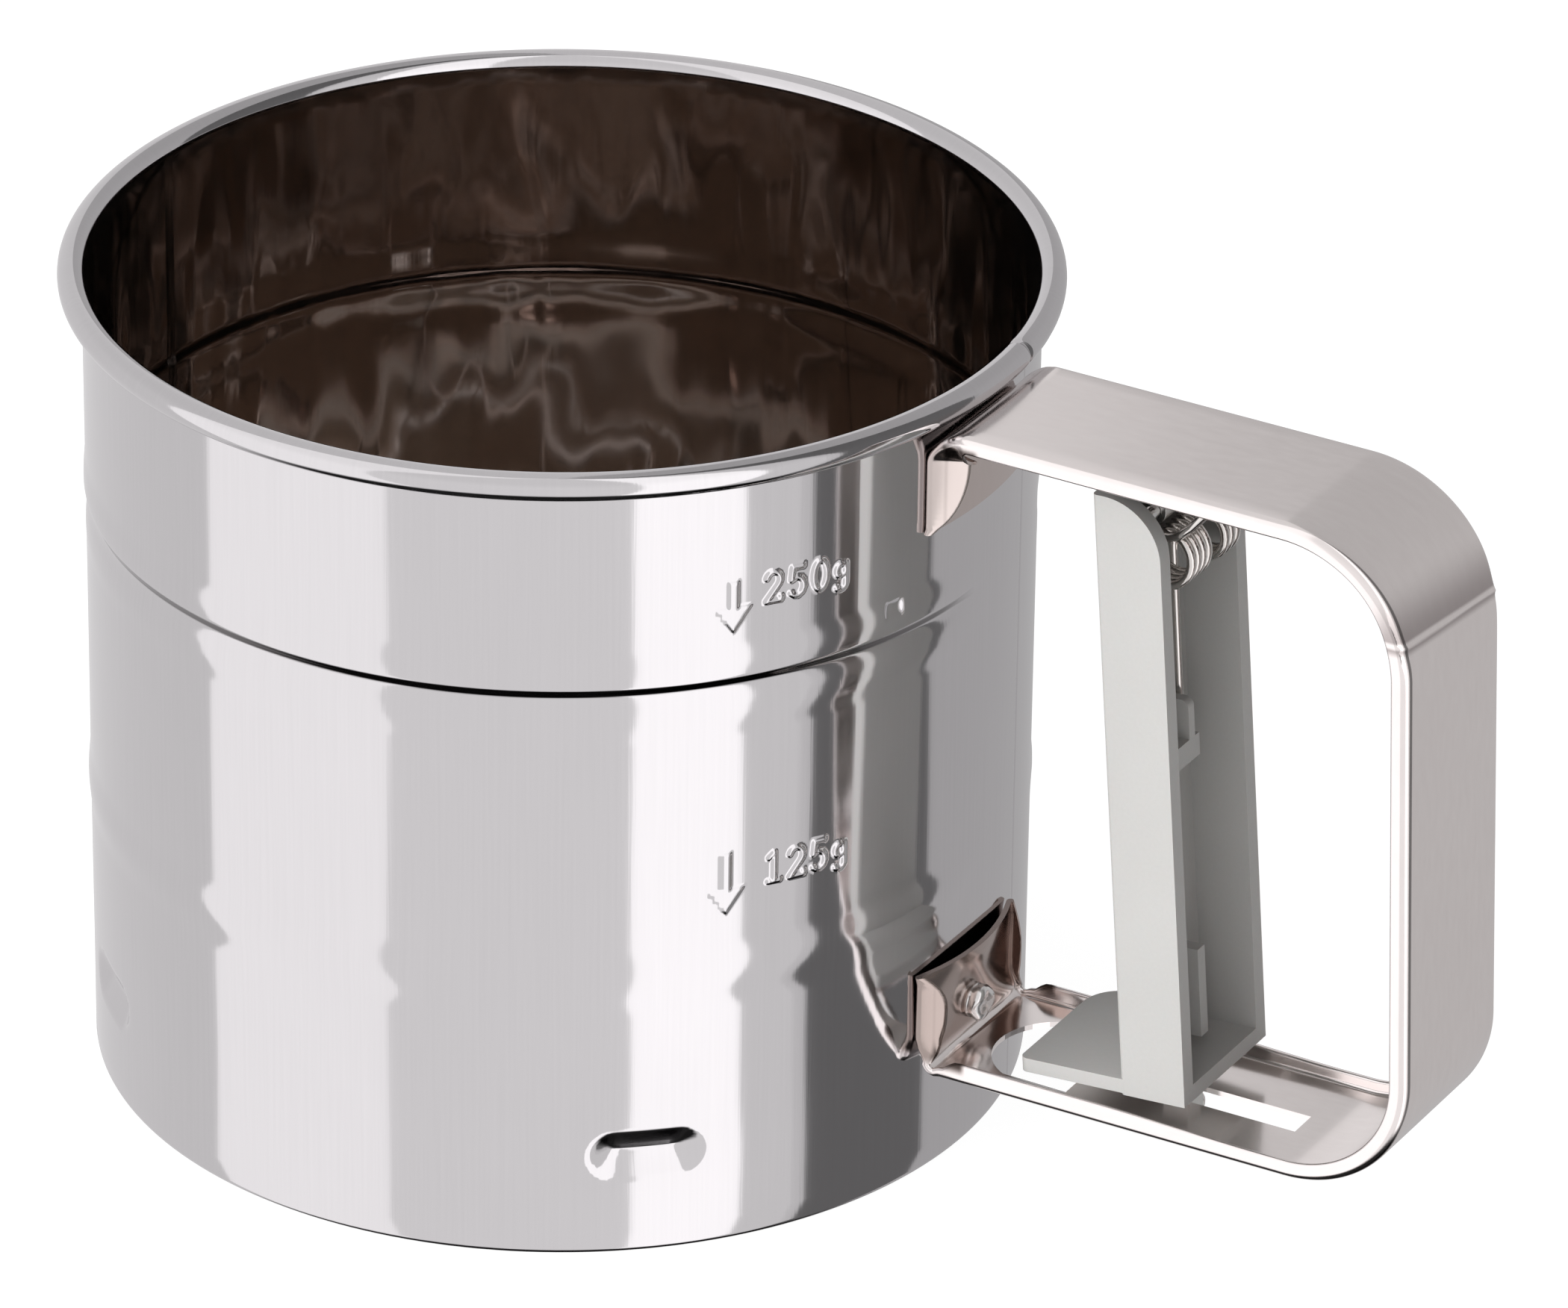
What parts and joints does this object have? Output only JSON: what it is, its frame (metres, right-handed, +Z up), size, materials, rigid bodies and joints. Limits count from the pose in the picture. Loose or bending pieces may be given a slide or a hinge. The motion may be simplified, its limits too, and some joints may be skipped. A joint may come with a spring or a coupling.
{
  "type": "flour sifter",
  "caption": "One-hand flour sifter: a steel cup with a wire-cloth sieve in its foot and a squeeze trigger that turns a bladed agitator.",
  "frame": {"origin": "centre of the round outlet in the cup's foot, in the plane the cup stands on", "axes": "+Z up the cup's axis towards its mouth, +X from the cup towards the grip of the handle, +Y to the left of someone who looks along +X"},
  "size_m": [0.1593, 0.105, 0.0913],
  "materials": {
    "cup_steel": "bright rolled stainless sheet, mirror-like with a fine upright grain",
    "ring_steel": "satin stainless",
    "wire_cloth": "woven stainless wire cloth",
    "stud_steel": "turned steel",
    "washer_steel": "satin stainless",
    "hub_brass": "turned brass",
    "blade_steel": "satin stainless strip",
    "rivet_aluminium": "upset aluminium rivet, slightly rough",
    "rod_steel": "bright drawn wire",
    "spring_steel": "dark spring wire",
    "strap_steel": "satin stainless with burnished edges",
    "bracket_steel": "satin stainless",
    "trigger_plastic": "moulded light grey plastic, slightly satin"
  },
  "bodies": {
    "root": {"cup_body": "cup_steel", "sieve_lower_ring": "ring_steel", "sieve_mesh": "wire_cloth", "sieve_upper_ring": "ring_steel", "pivot_stud": "stud_steel", "lower_washer": "washer_steel", "upper_washer": "washer_steel", "top_washer": "washer_steel", "retaining_clip": "spring_steel", "handle_strap": "strap_steel", "hinge_bracket": "bracket_steel", "hinge_pin": "rod_steel", "return_spring": "spring_steel", "lower_rivet": "rivet_aluminium", "rivet_washer": "washer_steel"},
    "trigger_lever": {"trigger": "trigger_plastic"},
    "drive": {"drive_rod": "rod_steel", "rod_clip_trigger": "spring_steel"},
    "agitator": {"agitator_hub": "hub_brass", "agitator_spider": "blade_steel", "crank_arm": "blade_steel", "crank_rivets": "rivet_aluminium"}
  },
  "joints": [
    {"name": "trigger_swing", "type": "hinge", "parent": "root", "child": "trigger_lever", "pos_m": [0.073, 0, 0.0829], "axis": [0, -1, 0], "range_deg": [0, 10], "stiffness_Nm_per_rad": 1.2, "springref_deg": -8.59, "deforming": ["return_spring"]},
    {"name": "rod_slide", "type": "slide", "parent": "root", "child": "drive", "axis": [1, 0, 0], "range_m": [0, 0.0125]},
    {"name": "agitator_turn", "type": "hinge", "parent": "root", "child": "agitator", "pos_m": [0, 0, 0.0085], "axis": [0, 0, 1], "range_deg": [0, 48.2]}
  ],
  "couplings": [
    {"joint": "rod_slide", "follows": "trigger_swing", "m_per_rad": 0.0714},
    {"joint": "agitator_turn", "follows": "trigger_swing", "ratio": 4.8}
  ]
}
